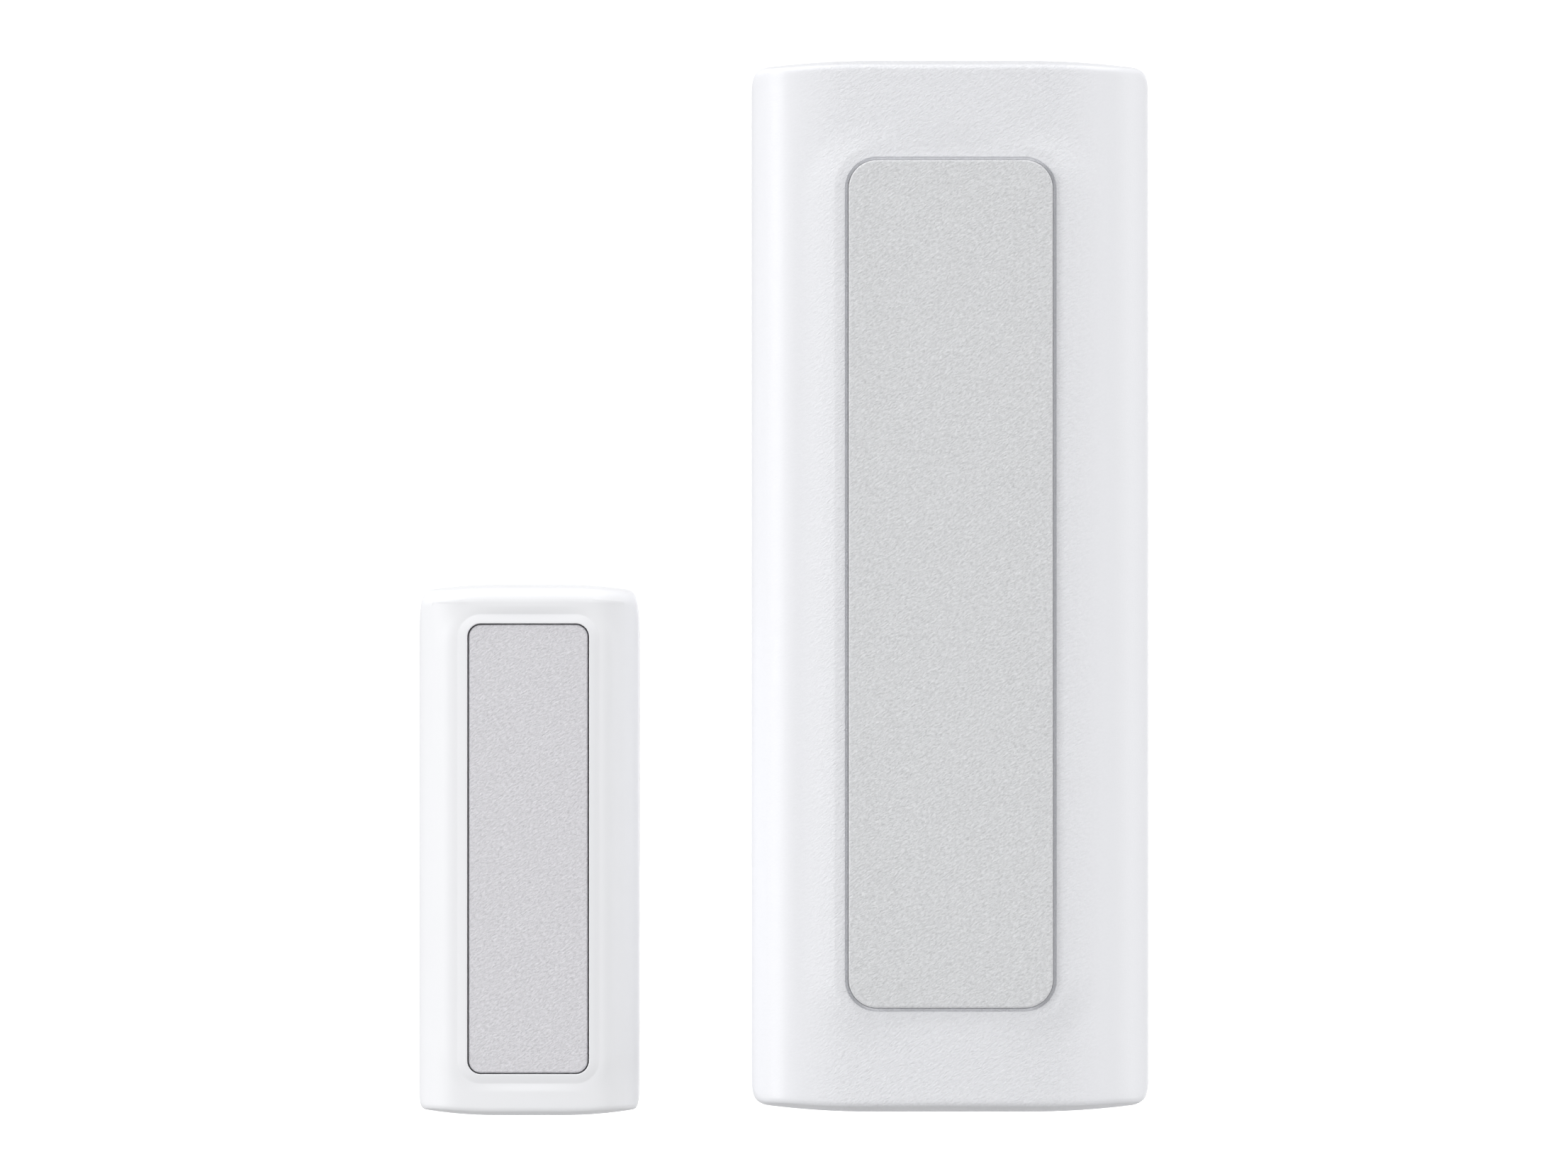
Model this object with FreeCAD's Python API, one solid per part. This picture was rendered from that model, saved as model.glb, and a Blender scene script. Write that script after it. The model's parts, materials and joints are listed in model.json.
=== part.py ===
import FreeCAD, Part
import math
import os

V = FreeCAD.Vector
os.makedirs("parts", exist_ok=True)

# Door contact sensor: a battery-powered sensor unit and a smaller magnet unit, each stuck to a frame or door with an adhesive pad.
# Millimetres. X to the right, Y towards the wall, Z up. The origin is the centre of the sensor unit's adhesive face, and the fronts face -Y.

# ---------------------------------------------------------------- driving dimensions
# sensor unit, outer form
S_W = 29.6            # width
S_L = 78.5            # length, crest to crest of the domed ends
S_D = 15.0            # depth from the adhesive face to the inlay's face, the foremost surface
S_FRONT = 14.72       # depth from the adhesive face to the crest of the crowned front
S_FLANK_R = 4.0       # radius between the sides and the front
S_CROWN_R = 88.0      # radius of the slightly crowned front, across the width
S_HOLLOW_R = 130.0    # the same of the front wall's inner face
S_END_FLAT = 6.0      # half length of the end's straight middle
S_END_R = 60.0        # radius of the end's drop towards the sides
S_END_CORNER = 1.5    # radius of the end's corners, seen from the front
S_END_DOME = 0.63     # how far the end's front edge lies below its crest
S_CREST_Y = -7.0      # where the crest of each end runs
S_EDGE_R = 0.35       # edge round between the ends and the front
S_BACK_Y = -2.5       # rear rim of the cover
S_WALL = 1.4          # side wall
S_FRONT_WALL = 2.2    # front wall
S_END_WALL = 1.9      # end wall at its crest

# sensor unit, front relief: a flat rim round the inlay's pocket, a little below the crest of the front at its two ends and standing above the falling crown along its two sides
S_DISH_W, S_DISH_H, S_DISH_R = 22.7, 69.7, 6.2   # outline where the dish round the rim runs out
S_DISH_SIDE_Y = -13.96                           # its depth there along the sides
S_DISH_END_RISE = 0.17                           # its rise towards the ends
S_RIM_W, S_RIM_H, S_RIM_R = 17.24, 65.0, 3.05
S_RIM_Y = -14.64
S_INLAY_W, S_INLAY_H, S_INLAY_R = 15.16, 62.9, 2.1
S_INLAY_GAP = 0.12
S_INLAY_T = 0.85
S_INLAY_Y = -S_D
S_INLAY_Z = 0.09
FILM_T = 0.15

# magnet unit, outer form
M_X, M_Z = -31.4, -19.7   # its centre against the sensor unit's, when the door is shut
M_W, M_L, M_D = 16.4, 39.7, 12.0
M_FLANK_R = 3.4
M_CROWN_R = 70.0
M_END_FLAT = 2.5
M_END_R = 33.0
M_END_CORNER = 0.7
M_END_DOME = 0.42
M_CREST_Y = -5.6
M_EDGE_R = 0.3
M_BACK_Y = -0.8
M_WALL = 1.3
M_FRONT_WALL = 1.9
M_END_WALL = 1.5
M_MOAT_W, M_MOAT_H, M_MOAT_R = 13.5, 36.5, 3.3
M_MOAT_DEPTH = 0.42
M_RIM_W, M_RIM_H, M_RIM_R = 10.56, 34.9, 1.75
M_RIM_TOP_W, M_RIM_TOP_H, M_RIM_TOP_R = 9.8, 34.2, 1.4
M_RIM_Y = -11.92
M_INLAY_W, M_INLAY_H, M_INLAY_R = 8.84, 33.3, 0.9
M_INLAY_GAP = 0.08
M_INLAY_T = 0.85
M_INLAY_Y = -11.9
M_INLAY_Z = 0.12

# bracket and pads
PAD_T = 0.8
BRACKET_T = 1.6
BRACKET_W, BRACKET_H, BRACKET_R = 28.4, 76.0, 2.6
S_PAD_W, S_PAD_H, S_PAD_R = 24.0, 70.0, 3.0
M_PAD_W, M_PAD_H, M_PAD_R = 12.6, 34.6, 1.6
HOOK_W = 5.6          # width of each hook
HOOK_X = 6.2          # hooks stand at plus and minus this x
HOOK_STEM = 1.8       # height of a hook's stem
HOOK_LIP = 3.0        # how far its lip reaches above the stem
HOOK_LIP_T = 1.2
HOOK_Z = (-32.0, 20.0)
LIFT = 4.0            # travel that frees the sensor unit from its bracket
HOUSING_T = 1.4

# electronics
PCB_Y0, PCB_Y1 = -7.6, -8.6
PCB_W, PCB_H = 24.8, 63.2
CELL_D, CELL_T = 20.0, 3.2
CELL_Z = 0.0
CELL_Y = -3.0
TAMPER_X, TAMPER_Z = 0.0, 24.0
TAMPER_TRAVEL = 0.8   # over the whole lift
BUTTON_Z, BUTTON_Y = -21.0, -6.1
BUTTON_L, BUTTON_H = 7.6, 3.0
BUTTON_TRAVEL = 0.4
REED_X, REED_Y, REED_Z = -10.2, -10.2, -16.0
REED_L, REED_D = 13.0, 2.2
SCREW_Z = 34.2


# ---------------------------------------------------------------- helpers
def save(shape, name):
    """One node's file. Several separate solids stay separate in a compound."""
    shape.exportStep("parts/" + name + ".step")


def box(x0, x1, y0, y1, z0, z1):
    x0, x1 = sorted((x0, x1))
    y0, y1 = sorted((y0, y1))
    z0, z1 = sorted((z0, z1))
    return Part.makeBox(x1 - x0, y1 - y0, z1 - z0, V(x0, y0, z0))


def cyl(x, y, z, r, length, axis):
    return Part.makeCylinder(r, length, V(x, y, z), V(*axis))


def rrect(w, h, r, y, cx=0.0, cz=0.0):
    """Rounded rectangle as a wire in a plane of constant y."""
    x0, x1, z0, z1 = cx - w / 2, cx + w / 2, cz - h / 2, cz + h / 2
    s = r * (1 - math.sqrt(0.5))
    e = [
        Part.LineSegment(V(x0 + r, y, z0), V(x1 - r, y, z0)),
        Part.Arc(V(x1 - r, y, z0), V(x1 - s, y, z0 + s), V(x1, y, z0 + r)),
        Part.LineSegment(V(x1, y, z0 + r), V(x1, y, z1 - r)),
        Part.Arc(V(x1, y, z1 - r), V(x1 - s, y, z1 - s), V(x1 - r, y, z1)),
        Part.LineSegment(V(x1 - r, y, z1), V(x0 + r, y, z1)),
        Part.Arc(V(x0 + r, y, z1), V(x0 + s, y, z1 - s), V(x0, y, z1 - r)),
        Part.LineSegment(V(x0, y, z1 - r), V(x0, y, z0 + r)),
        Part.Arc(V(x0, y, z0 + r), V(x0 + s, y, z0 + s), V(x0 + r, y, z0)),
    ]
    return Part.Wire([x.toShape() for x in e])


def slab(w, h, r, y0, y1, cx=0.0, cz=0.0):
    """Rounded rectangular plate between y0 and y1."""
    y0, y1 = sorted((y0, y1))
    return Part.Face(rrect(w, h, r, y0, cx, cz)).extrude(V(0, y1 - y0, 0))


def loft(w0, h0, r0, y0, w1, h1, r1, y1, cx=0.0, cz=0.0):
    """Ruled solid between two rounded rectangles."""
    return Part.makeLoft([rrect(w0, h0, r0, y0, cx, cz), rrect(w1, h1, r1, y1, cx, cz)], True, True)


def section(w, depth, flank_r, crown_r, back_y, cx=0.0):
    """Closed outline across a unit: straight sides, round flanks and a crowned front, in a plane of constant z."""
    fx = w / 2 - flank_r
    front = -depth
    cy = front + crown_r
    fy = cy - math.sqrt((crown_r - flank_r) ** 2 - fx ** 2)
    dx, dy = fx / (crown_r - flank_r), (fy - cy) / (crown_r - flank_r)
    tx, ty = crown_r * dx, cy + crown_r * dy
    a0 = math.atan2(ty - fy, tx - fx)
    am = a0 / 2
    mx, my = fx + flank_r * math.cos(am), fy + flank_r * math.sin(am)

    def p(x, y):
        return V(cx + x, y, 0)

    e = [
        Part.LineSegment(p(-w / 2, back_y), p(-w / 2, fy)),
        Part.Arc(p(-w / 2, fy), p(-mx, my), p(-tx, ty)),
        Part.Arc(p(-tx, ty), p(0, front), p(tx, ty)),
        Part.Arc(p(tx, ty), p(mx, my), p(w / 2, fy)),
        Part.LineSegment(p(w / 2, fy), p(w / 2, back_y)),
        Part.LineSegment(p(w / 2, back_y), p(-w / 2, back_y)),
    ]
    return Part.Face(Part.Wire([x.toShape() for x in e]))


def end_barrel(w, half, flat, end_r, corner, dome, crest_y, depth, up, cx, cz):
    """Solid of revolution about an axis along X, whose surface is the unit's domed end."""
    reach = depth + crest_y
    big = (reach ** 2 + dome ** 2) / (2 * dome)
    z_axis = half - big
    kx = w / 2 - 0.93 * corner
    kz = (half - end_r) + math.sqrt((end_r - corner) ** 2 - (kx - flat) ** 2)
    dx, dz = (kx - flat) / (end_r - corner), (kz - (half - end_r)) / (end_r - corner)
    tx, tz = flat + end_r * dx, (half - end_r) + end_r * dz
    a0 = math.atan2(dz, dx)
    a1 = math.radians(14.0)
    am = (a0 + a1) / 2
    mid_a = math.atan2(end_r, 0.0) - (math.atan2(end_r, 0.0) - a0) / 2
    gx, gz = flat + end_r * math.cos(mid_a), (half - end_r) + end_r * math.sin(mid_a)
    ex, ez = kx + corner * math.cos(a1), kz + corner * math.sin(a1)
    mx, mz = kx + corner * math.cos(am), kz + corner * math.sin(am)

    def p(x, z):
        return V(cx + x, crest_y, cz + up * z)

    e = [
        Part.LineSegment(p(-ex, z_axis), p(-ex, ez)),
        Part.Arc(p(-ex, ez), p(-mx, mz), p(-tx, tz)),
        Part.Arc(p(-tx, tz), p(-gx, gz), p(-flat, half)),
        Part.LineSegment(p(-flat, half), p(flat, half)),
        Part.Arc(p(flat, half), p(gx, gz), p(tx, tz)),
        Part.Arc(p(tx, tz), p(mx, mz), p(ex, ez)),
        Part.LineSegment(p(ex, ez), p(ex, z_axis)),
        Part.LineSegment(p(ex, z_axis), p(-ex, z_axis)),
    ]
    face = Part.Face(Part.Wire([x.toShape() for x in e]))
    return face.revolve(V(cx, crest_y, cz + up * z_axis), V(1, 0, 0), 360)


def capsule(w, length, depth, flank_r, crown_r, back_y, flat, end_r, corner, dome, crest_y, edge_r, cx=0.0, cz=0.0):
    """Outer form of a unit: the section drawn out along Z and ended by two domed ends, with softened end edges."""
    bar = section(w, depth, flank_r, crown_r, back_y, cx)
    bar.translate(V(0, 0, cz - length / 2 - 2))
    bar = bar.extrude(V(0, 0, length + 4))
    for up in (1, -1):
        bar = bar.common(end_barrel(w, length / 2, flat, end_r, corner, dome, crest_y, depth, up, cx, cz))
    bar = bar.Solids[0]
    # an end face's normal leans mostly along Z; the edges shared with the sides and the front are softened
    owners = {}
    for face in bar.Faces:
        u0, u1, v0, v1 = face.ParameterRange
        n = face.normalAt((u0 + u1) / 2, (v0 + v1) / 2)
        is_end = abs(n.z) > 0.5
        for edge in face.Edges:
            owners.setdefault(edge.hashCode(), [edge, set()])[1].add(is_end)
    picked = [edge for edge, kinds in owners.values() if len(kinds) == 2 and edge.BoundBox.YMin < back_y - 1e-3]
    try:
        soft = bar.makeFillet(edge_r, picked)
        if soft.isValid() and len(soft.Solids) == 1:
            return soft.Solids[0]
    except Exception as error:
        print("end edges stay sharp:", error)
    return bar


def drilled(shape, *cutters):
    for cutter in cutters:
        shape = shape.cut(cutter)
    return shape


def one(shape):
    """The shape's solids, cleaned of split faces."""
    shape = shape.removeSplitter()
    return shape.Solids[0] if len(shape.Solids) == 1 else shape


# ---------------------------------------------------------------- sensor unit: cover
s_half = S_L / 2
outer = capsule(S_W, S_L, S_FRONT, S_FLANK_R, S_CROWN_R, S_BACK_Y, S_END_FLAT, S_END_R, S_END_CORNER, S_END_DOME, S_CREST_Y, S_EDGE_R)

cav_w = S_W - 2 * S_WALL
cav_h = S_L - 2 * S_END_WALL
cav_front = -(S_D - S_FRONT_WALL)
hollow = section(cav_w, -cav_front, S_FLANK_R - S_WALL, S_HOLLOW_R, S_BACK_Y + 1)
hollow.translate(V(0, 0, -cav_h / 2))
hollow = hollow.extrude(V(0, 0, cav_h))
hollow = hollow.common(slab(cav_w, cav_h, 1.4, cav_front - 1, S_BACK_Y + 2))

# front relief: a low plinth carries the rim, and a shallow funnel takes the front down to it at the two ends
k = 0.1 / (S_DISH_SIDE_Y - S_RIM_Y)
plinth = loft(S_RIM_W - k * (S_DISH_W - S_RIM_W), S_RIM_H - k * (S_DISH_H - S_RIM_H), S_RIM_R - k * (S_DISH_R - S_RIM_R), S_RIM_Y - 0.1, S_DISH_W, S_DISH_H, S_DISH_R, S_DISH_SIDE_Y, 0, S_INLAY_Z)
funnel = loft(S_RIM_W + 0.03, S_RIM_H + 0.03, S_RIM_R, S_RIM_Y, S_DISH_W, S_DISH_H, S_DISH_R, S_RIM_Y - S_DISH_END_RISE, 0, S_INLAY_Z)
pocket_y = S_INLAY_Y + S_INLAY_T + FILM_T
pocket = slab(S_INLAY_W + 2 * S_INLAY_GAP, S_INLAY_H + 2 * S_INLAY_GAP, S_INLAY_R + S_INLAY_GAP, -S_D - 1, pocket_y, 0, S_INLAY_Z)

cover = outer.fuse(plinth).cut(hollow)
cover = cover.cut(funnel)
cover = cover.cut(pocket)

# two screw bosses and four board posts stand on the inside of the front wall
boss_top = S_BACK_Y - HOUSING_T - 0.8
for z in (SCREW_Z, -SCREW_Z):
    boss = cyl(0, cav_front - 0.4, z, 2.5, boss_top - cav_front + 0.4, (0, 1, 0))
    cover = cover.fuse(boss)
    cover = cover.cut(cyl(0, cav_front + 1.2, z, 1.0, 12, (0, 1, 0)))
POSTS = [(x, z) for x in (-10.6, 10.6) for z in (-29.6, 29.6)]
for x, z in POSTS:
    cover = cover.fuse(cyl(x, cav_front - 0.3, z, 1.2, PCB_Y1 - cav_front + 0.3, (0, 1, 0)))
    cover = cover.fuse(cyl(x, PCB_Y1, z, 0.6, 0.8, (0, 1, 0)))
# opening for the test button, in the right-hand wall
button_hole = Part.Face(rrect(BUTTON_H + 0.3, BUTTON_L + 0.3, BUTTON_H / 2 + 0.14, 0)).extrude(V(0, 3, 0))
button_hole.rotate(V(0, 0, 0), V(0, 0, 1), -90)
button_hole.translate(V(S_W / 2 - 2.0, BUTTON_Y, BUTTON_Z))
cover = cover.cut(button_hole)
cover = one(cover)
save(cover, "sensor_front_cover")

film = slab(S_INLAY_W - 0.8, S_INLAY_H - 0.8, S_INLAY_R - 0.3, pocket_y - FILM_T, pocket_y, 0, S_INLAY_Z)
save(film, "sensor_inlay_film")
inlay = slab(S_INLAY_W, S_INLAY_H, S_INLAY_R, S_INLAY_Y, S_INLAY_Y + S_INLAY_T, 0, S_INLAY_Z)
inlay = inlay.makeFillet(0.15, [e for e in inlay.Edges if abs(e.BoundBox.YMin - S_INLAY_Y) < 1e-6 and abs(e.BoundBox.YMax - S_INLAY_Y) < 1e-6])
save(one(inlay), "sensor_front_inlay")

# ---------------------------------------------------------------- sensor unit: rear housing, with the cell's well open to the back
plate_front = S_BACK_Y - HOUSING_T
housing = slab(cav_w - 0.2, cav_h - 0.2, 1.3, plate_front, S_BACK_Y)
collar = cyl(0, PCB_Y0 + 0.2, CELL_Z, 11.3, plate_front - (PCB_Y0 + 0.2) + 0.3, (0, 1, 0))
housing = housing.fuse(collar)
for z in (SCREW_Z, -SCREW_Z):
    housing = housing.fuse(cyl(0, boss_top, z, 2.5, plate_front - boss_top + 0.3, (0, 1, 0)))
housing = housing.cut(cyl(0, PCB_Y0 - 1, CELL_Z, 10.3, 10, (0, 1, 0)))
for side in (-1, 1):
    # a lip on each side of the well holds the cell in
    lip = box(side * 9.75, side * 10.6, S_BACK_Y - 0.1, S_BACK_Y - 0.42, CELL_Z - 1.8, CELL_Z + 1.8)
    housing = housing.fuse(lip)
# notch in the well's wall for the positive contact
housing = housing.cut(box(-2.4, 2.4, PCB_Y0 - 1, plate_front - 0.25, CELL_Z + 9.6, CELL_Z + 12.5))
for z in (SCREW_Z, -SCREW_Z):
    housing = housing.cut(cyl(0, boss_top - 1, z, 1.2, 8, (0, 1, 0)))
    housing = housing.cut(cyl(0, S_BACK_Y - 1.0, z, 2.1, 4, (0, 1, 0)))
# posts that press the board onto the cover's posts
for x, z in POSTS:
    housing = housing.fuse(cyl(x, PCB_Y0, z, 1.1, plate_front - PCB_Y0 + 0.3, (0, 1, 0)))
    housing = housing.cut(cyl(x, PCB_Y0 - 1, z, 0.65, 2.0, (0, 1, 0)))
# four slots for the bracket's hooks: the unit hangs with each slot's top edge on a stem
for z in HOOK_Z:
    for side in (-1, 1):
        housing = housing.cut(box(side * HOOK_X - HOOK_W / 2 - 0.2, side * HOOK_X + HOOK_W / 2 + 0.2, S_BACK_Y + 1, plate_front - 1, z - LIFT - 0.2, z + HOOK_STEM + 0.05))
# hole for the tamper plunger
housing = housing.cut(cyl(TAMPER_X, plate_front - 1, TAMPER_Z, 1.1, 4, (0, 1, 0)))
save(one(housing), "sensor_rear_housing")

# ---------------------------------------------------------------- bracket and its pad
b_back, b_front = -PAD_T, -PAD_T - BRACKET_T
bracket = slab(BRACKET_W, BRACKET_H, BRACKET_R, b_back, b_front)
bracket = bracket.makeChamfer(0.3, [e for e in bracket.Edges if abs(e.BoundBox.YMax - b_front) < 1e-6])
lip_y0 = plate_front - 0.15
lip_y1 = lip_y0 - HOOK_LIP_T
for z in HOOK_Z:
    for side in (-1, 1):
        x0, x1 = side * HOOK_X - HOOK_W / 2, side * HOOK_X + HOOK_W / 2
        bracket = bracket.fuse(box(x0, x1, b_front + 0.2, lip_y1, z, z + HOOK_STEM))
        bracket = bracket.fuse(box(x0, x1, lip_y0, lip_y1, z, z + HOOK_STEM + HOOK_LIP))
# ramp that works the tamper plunger: its floor falls back by the plunger's travel over the lift
slope = TAMPER_TRAVEL / LIFT
tip_r = 0.8
ramp_y0 = b_front + 0.1
groove = Part.Face(Part.makePolygon([
    V(TAMPER_X - 1.5, b_front - 1.0, TAMPER_Z - 2.0),
    V(TAMPER_X - 1.5, ramp_y0, TAMPER_Z - 2.0),
    V(TAMPER_X - 1.5, ramp_y0, TAMPER_Z),
    V(TAMPER_X - 1.5, ramp_y0 + slope * (LIFT + 1.0), TAMPER_Z + LIFT + 1.0),
    V(TAMPER_X - 1.5, b_front - 1.0, TAMPER_Z + LIFT + 1.0),
    V(TAMPER_X - 1.5, b_front - 1.0, TAMPER_Z - 2.0),
])).extrude(V(3.0, 0, 0))
bracket = bracket.cut(groove)
bracket = one(bracket)
save(bracket, "mounting_bracket")
save(slab(S_PAD_W, S_PAD_H, S_PAD_R, 0, -PAD_T), "sensor_adhesive_pad")

# ---------------------------------------------------------------- screws
screws = []
for z in (SCREW_Z, -SCREW_Z):
    head = cyl(0, S_BACK_Y - 1.0, z, 1.85, 0.8, (0, 1, 0))
    shank = cyl(0, S_BACK_Y - 7.4, z, 0.95, 6.5, (0, 1, 0))
    tip = Part.makeCone(0.3, 0.95, 1.0, V(0, S_BACK_Y - 8.4, z), V(0, 1, 0))
    screw = head.fuse(shank).fuse(tip)
    for angle in (0, 90):
        slot = box(-1.1, 1.1, S_BACK_Y - 0.7, S_BACK_Y, -0.22, 0.22)
        slot.rotate(V(0, 0, 0), V(0, 1, 0), angle + 45)
        slot.translate(V(0, 0, z))
        screw = screw.cut(slot)
    screws.append(one(screw))
save(Part.makeCompound(screws), "housing_screws")

# ---------------------------------------------------------------- board
board = box(-PCB_W / 2, PCB_W / 2, PCB_Y0, PCB_Y1, -PCB_H / 2, PCB_H / 2)
board = board.makeFillet(1.0, [e for e in board.Edges if e.BoundBox.YLength > 0.9 and e.BoundBox.XLength < 0.01 and e.BoundBox.ZLength < 0.01])
for x, z in POSTS:
    board = board.cut(cyl(x, PCB_Y1 - 1, z, 0.65, 4, (0, 1, 0)))
lead_zs = (REED_Z - REED_L / 2 - 2.0, REED_Z + REED_L / 2 + 2.0)
for z in lead_zs:
    board = board.cut(cyl(REED_X, PCB_Y1 - 1, z, 0.35, 4, (0, 1, 0)))
# the right edge steps back beside the test button
board = board.cut(box(11.6, 13.0, PCB_Y0 + 1, PCB_Y1 - 1, BUTTON_Z - 5.4, BUTTON_Z + 5.4))
save(one(board), "circuit_board")

# coin cell: the can is the positive pole and faces the back, the stepped cap faces the board
can = cyl(0, CELL_Y - CELL_T + 0.35, CELL_Z, CELL_D / 2, CELL_T - 0.35, (0, 1, 0))
can = can.makeFillet(0.5, [e for e in can.Edges if e.BoundBox.YMin > CELL_Y - 1e-3 and e.BoundBox.YLength < 1e-3])
cap = cyl(0, CELL_Y - CELL_T, CELL_Z, 8.8, 0.6, (0, 1, 0))
save(one(can.fuse(cap)), "coin_cell")

# negative contact: a strip on the board with two tongues bent up to the cell's cap
cell_cap_y = CELL_Y - CELL_T
tongue = 0.2


def strip(points, x0, x1, t):
    """A bent metal strip: the polyline in the YZ plane is thickened by t towards its left and drawn out along X."""
    pts = [V(x0, y, z) for y, z in points]
    out = []
    for i, p in enumerate(pts):
        a = pts[max(i - 1, 0)]
        b = pts[min(i + 1, len(pts) - 1)]
        d = b - a
        n = V(0, -d.z, d.y)
        n.normalize()
        first = pts[i] - pts[i - 1] if i else pts[1] - pts[0]
        m = V(0, -first.z, first.y)
        m.normalize()
        out.append(p + n * (t / max(0.5, n.dot(m))))
    loop = pts + out[::-1] + [pts[0]]
    return Part.Face(Part.makePolygon(loop)).extrude(V(x1 - x0, 0, 0))


neg = box(-3.4, 3.4, PCB_Y0, PCB_Y0 + 0.2, CELL_Z - 6.0, CELL_Z - 3.0)
for x in (-2.6, 0.8):
    neg = neg.fuse(strip([(PCB_Y0 + 0.2, CELL_Z - 3.4), (PCB_Y0 + 0.2, CELL_Z - 2.8), (cell_cap_y - 0.22, CELL_Z + 3.4), (cell_cap_y - 0.5, CELL_Z + 4.6)], x, x + 1.8, -tongue))
save(one(neg), "battery_contact_negative")

# positive contact: an upright that bears on the can's side, on a foot soldered to the board
pos = box(-1.9, 1.9, PCB_Y0, PCB_Y0 + 0.25, CELL_Z + 10.05, CELL_Z + 12.2)
pos = pos.fuse(box(-1.9, 1.9, PCB_Y0, CELL_Y - 1.3, CELL_Z + 10.02, CELL_Z + 10.27))
save(one(pos), "battery_contact_positive")

# reed switch: a glass capsule beside the board's left edge, with one lead and blade at each end
glass = cyl(REED_X, REED_Y, REED_Z - REED_L / 2, REED_D / 2, REED_L, (0, 0, 1))
glass = glass.makeFillet(0.7, [e for e in glass.Edges if e.BoundBox.ZLength < 1e-3])
glass = glass.cut(cyl(REED_X, REED_Y, REED_Z - REED_L / 2 + 2.0, REED_D / 2 - 0.3, REED_L - 4.0, (0, 0, 1)))
glass = glass.cut(cyl(REED_X, REED_Y, REED_Z - REED_L / 2 - 1, 0.27, REED_L + 2, (0, 0, 1)))
save(glass.Solids[0], "reed_switch_capsule")
leads = []
for up in (-1, 1):
    end = REED_Z + up * (REED_L / 2 + 2.0)
    inner = REED_Z + up * (REED_L / 2 - 2.6)
    wire = cyl(REED_X, REED_Y, min(end, inner), 0.25, abs(end - inner), (0, 0, 1))
    wire = wire.fuse(cyl(REED_X, REED_Y, end, 0.25, PCB_Y0 + 0.5 - REED_Y, (0, 1, 0)))
    wire = wire.fuse(Part.makeSphere(0.25, V(REED_X, REED_Y, end)))
    blade = box(REED_X - 0.45, REED_X + 0.45, REED_Y + up * 0.12 - 0.07, REED_Y + up * 0.12 + 0.07, inner + up * 0.4, REED_Z - up * 0.9)
    leads.append(one(wire.fuse(blade)))
save(Part.makeCompound(leads), "reed_switch_leads")

# parts on the board's front
radio = box(-6.0, 6.0, PCB_Y1, PCB_Y1 - 2.0, 12.0, 25.0)
radio = radio.makeFillet(0.4, [e for e in radio.Edges if e.BoundBox.YMin < PCB_Y1 - 1.99 or e.BoundBox.YLength > 1.9])
save(radio, "radio_shield")
chip = box(-2.6, 3.4, PCB_Y1, PCB_Y1 - 0.9, -3.0, 3.0)
chip = chip.makeChamfer(0.15, [e for e in chip.Edges if e.BoundBox.YMax < PCB_Y1 - 0.85])
save(chip, "microcontroller")
crystal = box(5.6, 8.1, PCB_Y1, PCB_Y1 - 0.8, -2.0, 1.2)
crystal = crystal.makeFillet(0.2, [e for e in crystal.Edges if e.BoundBox.YLength > 0.7])
save(crystal, "timing_crystal")
save(box(8.6, 10.2, PCB_Y1, PCB_Y1 - 0.6, 22.0, 22.9), "status_led")
caps = [box(x, x + 1.6, PCB_Y1, PCB_Y1 - 0.8, z, z + 0.8) for x, z in ((-7.0, 4.4), (-7.0, 1.6), (-7.0, -1.2), (6.0, 5.0), (-2.0, 6.2), (1.4, 6.2), (-1.0, -6.4), (2.4, -6.4), (5.6, -7.6))]
save(Part.makeCompound(caps), "board_capacitors")
antenna = box(-7.0, 7.0, PCB_Y1, PCB_Y1 - 0.6, 28.2, 29.2)
antenna = antenna.fuse(box(-7.0, -6.0, PCB_Y1, PCB_Y1 - 0.6, 26.2, 28.6)).fuse(box(-3.4, -2.4, PCB_Y1, PCB_Y1 - 0.6, 26.2, 28.6))
save(one(antenna), "antenna_strip")

# ---------------------------------------------------------------- test button and its switch
bx = S_W / 2
key_len = S_WALL + 0.06 - 0.1
key = Part.Face(rrect(BUTTON_H, BUTTON_L, BUTTON_H / 2 - 0.01, 0)).extrude(V(0, key_len, 0))
key.rotate(V(0, 0, 0), V(0, 0, 1), -90)
key.translate(V(bx - S_WALL - 0.06, BUTTON_Y, BUTTON_Z))
key = key.makeFillet(0.3, [e for e in key.Edges if e.BoundBox.XMin > bx - 0.1 - 1e-3])
flange_x1 = bx - S_WALL - 0.05
flange_x0 = flange_x1 - 0.8
flange = Part.Face(rrect(BUTTON_H + 0.5, BUTTON_L + 1.6, 1.2, 0)).extrude(V(0, 0.8, 0))
flange.rotate(V(0, 0, 0), V(0, 0, 1), -90)
flange.translate(V(flange_x0, BUTTON_Y, BUTTON_Z))
stem_x0 = 11.95
button = key.fuse(flange).fuse(cyl(stem_x0, BUTTON_Y, BUTTON_Z, 1.0, flange_x0 - stem_x0 + 0.2, (1, 0, 0)))
save(one(button), "test_button")

tact = box(7.4, 11.0, PCB_Y0, PCB_Y0 + 3.0, BUTTON_Z - 2.3, BUTTON_Z + 2.3)
tact = tact.cut(cyl(9.4, BUTTON_Y, BUTTON_Z, 0.86, 3, (1, 0, 0)))
save(one(tact), "tact_switch_body")
plunger = cyl(10.1, BUTTON_Y, BUTTON_Z, 0.8, 11.9 - 10.1, (1, 0, 0))
save(plunger, "tact_switch_plunger")

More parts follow.
